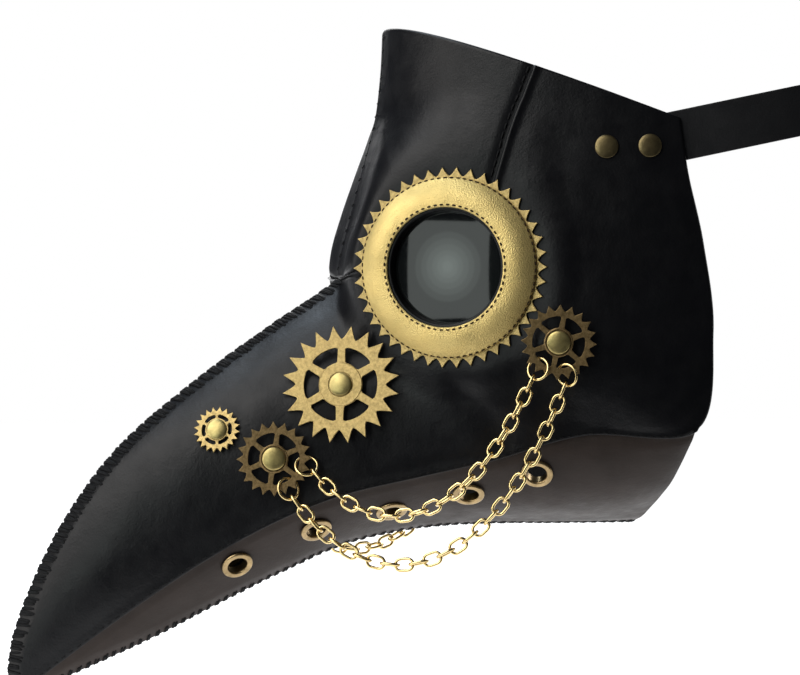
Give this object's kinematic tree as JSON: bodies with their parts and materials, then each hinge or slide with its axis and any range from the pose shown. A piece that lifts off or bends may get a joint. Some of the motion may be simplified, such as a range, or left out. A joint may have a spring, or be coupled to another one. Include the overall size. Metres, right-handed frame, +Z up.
{
  "type": "plague doctor mask",
  "caption": "Beaked leather mask with round dark lenses in toothed rings, riveted gear plates, hanging chains, brass eyelets and a buckled head strap.",
  "frame": {"origin": "middle of the head opening, on the mid-plane, level with the eyes", "axes": "+Z up, -Y along the beak (the wearer looks along -Y), +X to the wearer's left"},
  "size_m": [0.1534, 0.3707, 0.274],
  "materials": {
    "panel_leather": "satin, fine grain",
    "under_leather": "satin, fine grain, browner",
    "thread": "waxed thread",
    "trim_leather": "metallic gold foil on leather",
    "gold_plate": "matt gold plating",
    "lens": "dark tinted, polished",
    "lens_holder": "black, polished",
    "rivet_brass": "antique",
    "eyelet_brass": "antique, rolled",
    "chain_gold": "polished gold",
    "strap_leather": "satin",
    "buckle_brass": "antique"
  },
  "bodies": {
    "mask": {"forehead_panel_left": "panel_leather", "forehead_panel_right": "panel_leather", "side_panel_left": "panel_leather", "side_panel_right": "panel_leather", "under_panel_left": "under_leather", "under_panel_right": "under_leather", "ridge_stitching": "thread", "forehead_stitching": "thread", "chin_stitching": "thread", "temple_stitching_left": "thread", "temple_stitching_right": "thread", "side_stitching_left": "thread", "side_stitching_right": "thread", "eye_trim_left": "trim_leather", "eye_trim_right": "trim_leather", "toothed_ring_left": "gold_plate", "toothed_ring_right": "gold_plate", "lens_left": "lens", "lens_right": "lens", "lens_holder_left": "lens_holder", "lens_holder_right": "lens_holder", "gear_rivets_left": "rivet_brass", "gear_rivets_right": "rivet_brass", "strap_rivets_left": "rivet_brass", "strap_rivets_right": "rivet_brass", "rivet_backs_left": "rivet_brass", "rivet_backs_right": "rivet_brass", "eyelets_left": "eyelet_brass", "eyelets_right": "eyelet_brass", "eyelet_washers_left": "eyelet_brass", "eyelet_washers_right": "eyelet_brass", "jump_rings_left": "chain_gold", "jump_rings_right": "chain_gold", "strap_left": "strap_leather", "strap_right": "strap_leather", "buckle_frame": "buckle_brass"},
    "large_gear_left": {"large_gear_left": "gold_plate"},
    "small_gear_left": {"small_gear_left": "gold_plate"},
    "front_gear_left": {"front_gear_left": "gold_plate"},
    "rear_gear_left": {"rear_gear_left": "gold_plate"},
    "upper_chain_left": {"upper_chain_left": "chain_gold"},
    "lower_chain_left": {"lower_chain_left": "chain_gold"},
    "large_gear_right": {"large_gear_right": "gold_plate"},
    "small_gear_right": {"small_gear_right": "gold_plate"},
    "front_gear_right": {"front_gear_right": "gold_plate"},
    "rear_gear_right": {"rear_gear_right": "gold_plate"},
    "upper_chain_right": {"upper_chain_right": "chain_gold"},
    "lower_chain_right": {"lower_chain_right": "chain_gold"},
    "buckle_prong": {"buckle_prong": "buckle_brass"},
    "strap_keeper": {"strap_keeper": "strap_leather"}
  },
  "joints": [
    {"name": "large_gear_left_spin", "type": "hinge", "parent": "mask", "child": "large_gear_left", "pos_m": [0.03379, -0.14003, -0.04783], "axis": [0.9281, -0.3378, 0.1564], "continuous": true},
    {"name": "small_gear_left_spin", "type": "hinge", "parent": "mask", "child": "small_gear_left", "pos_m": [0.02207, -0.18844, -0.0661], "axis": [0.9077, -0.3304, 0.2588], "continuous": true},
    {"name": "front_gear_left_spin", "type": "hinge", "parent": "mask", "child": "front_gear_left", "pos_m": [0.03147, -0.16672, -0.07752], "axis": [0.9768, -0.2076, 0.0523], "range_deg": [-4, 4]},
    {"name": "rear_gear_left_spin", "type": "hinge", "parent": "mask", "child": "rear_gear_left", "pos_m": [0.07083, -0.05908, -0.03092], "axis": [0.9606, -0.2574, -0.1045], "range_deg": [-4, 4]},
    {"name": "upper_chain_left_swing", "type": "hinge", "parent": "mask", "child": "upper_chain_left", "pos_m": [0.03628, -0.15102, -0.08283], "axis": [-0.3225, -0.8606, -0.3941], "range_deg": [0, 36]},
    {"name": "lower_chain_left_swing", "type": "hinge", "parent": "mask", "child": "lower_chain_left", "pos_m": [0.03378, -0.15904, -0.09329], "axis": [-0.2954, -0.8738, -0.3864], "range_deg": [0, 36]},
    {"name": "large_gear_right_spin", "type": "hinge", "parent": "mask", "child": "large_gear_right", "pos_m": [-0.03379, -0.14003, -0.04783], "axis": [-0.9281, -0.3378, 0.1564], "continuous": true},
    {"name": "small_gear_right_spin", "type": "hinge", "parent": "mask", "child": "small_gear_right", "pos_m": [-0.02207, -0.18844, -0.0661], "axis": [-0.9077, -0.3304, 0.2588], "continuous": true},
    {"name": "front_gear_right_spin", "type": "hinge", "parent": "mask", "child": "front_gear_right", "pos_m": [-0.03147, -0.16672, -0.07752], "axis": [-0.9768, -0.2076, 0.0523], "range_deg": [-4, 4]},
    {"name": "rear_gear_right_spin", "type": "hinge", "parent": "mask", "child": "rear_gear_right", "pos_m": [-0.07083, -0.05908, -0.03092], "axis": [-0.9606, -0.2574, -0.1045], "range_deg": [-4, 4]},
    {"name": "upper_chain_right_swing", "type": "hinge", "parent": "mask", "child": "upper_chain_right", "pos_m": [-0.03628, -0.15102, -0.08283], "axis": [-0.3225, 0.8606, 0.3941], "range_deg": [0, 36]},
    {"name": "lower_chain_right_swing", "type": "hinge", "parent": "mask", "child": "lower_chain_right", "pos_m": [-0.03378, -0.15904, -0.09329], "axis": [-0.2954, 0.8738, 0.3864], "range_deg": [0, 36]},
    {"name": "prong_hinge", "type": "hinge", "parent": "mask", "child": "buckle_prong", "pos_m": [0, 0.08975, 0.07217], "axis": [0, 0.2079, -0.9781], "range_deg": [0, 6]},
    {"name": "keeper_slide", "type": "slide", "parent": "mask", "child": "strap_keeper", "axis": [1, 0, 0], "range_m": [-0.003, 0.005]}
  ]
}
